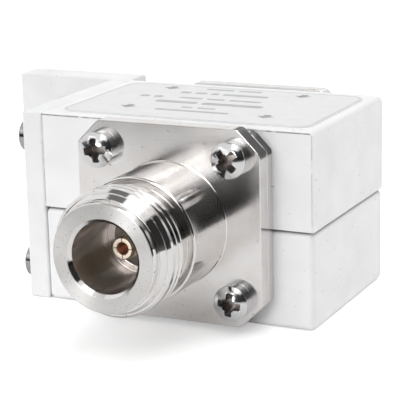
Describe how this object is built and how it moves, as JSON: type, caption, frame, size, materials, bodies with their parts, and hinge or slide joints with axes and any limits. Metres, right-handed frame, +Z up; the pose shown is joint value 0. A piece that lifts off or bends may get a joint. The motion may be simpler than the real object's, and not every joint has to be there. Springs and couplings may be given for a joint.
{
  "type": "coax lightning arrestor",
  "caption": "White metal block with an N-type coaxial port on its front and one on its back and an L-shaped mounting bracket, which shunts surges on the line to earth.",
  "frame": {"origin": "centre of the housing's bottom face", "axes": "+X to the right seen from the equipment port, +Y back along the antenna port's axis, +Z up"},
  "size_m": [0.0571, 0.0674, 0.0261],
  "materials": {
    "white_finish": "satin white",
    "label": "white film with grey print fields",
    "plated_port": "satin white-metal plating on brass",
    "bright_screw": "bright plated steel",
    "contact_metal": "gold-coloured plating",
    "bead": "white fluoropolymer",
    "inner_brass": "bare",
    "film": "amber film",
    "tube_ceramic": "unglazed",
    "electrode": "nickel plated",
    "spring_strip": "spring bronze",
    "ferrite": "matt",
    "copper_wire": "enamelled copper",
    "tinned_wire": "tinned"
  },
  "bodies": {
    "root": {"upper_housing": "white_finish", "lower_housing": "white_finish", "mounting_bracket": "white_finish", "bracket_screws": "bright_screw", "top_label": "label", "equipment_port_body": "plated_port", "equipment_port_plate": "plated_port", "equipment_port_screws": "bright_screw", "equipment_port_insulator": "bead", "equipment_port_contact": "contact_metal", "antenna_port_body": "plated_port", "antenna_port_plate": "plated_port", "antenna_port_screws": "bright_screw", "antenna_port_insulator": "bead", "antenna_port_contact": "contact_metal", "capacitor_equipment_plate": "inner_brass", "capacitor_antenna_plate": "inner_brass", "capacitor_dielectric": "film", "discharge_lug": "inner_brass", "gas_tube_ceramic": "tube_ceramic", "gas_tube_inner_electrode": "electrode", "gas_tube_outer_electrode": "electrode", "gas_tube_spring": "spring_strip", "choke_core": "ferrite", "choke_winding": "copper_wire", "choke_contact_lead": "tinned_wire", "choke_wall_lead": "tinned_wire"}
  },
  "joints": []
}
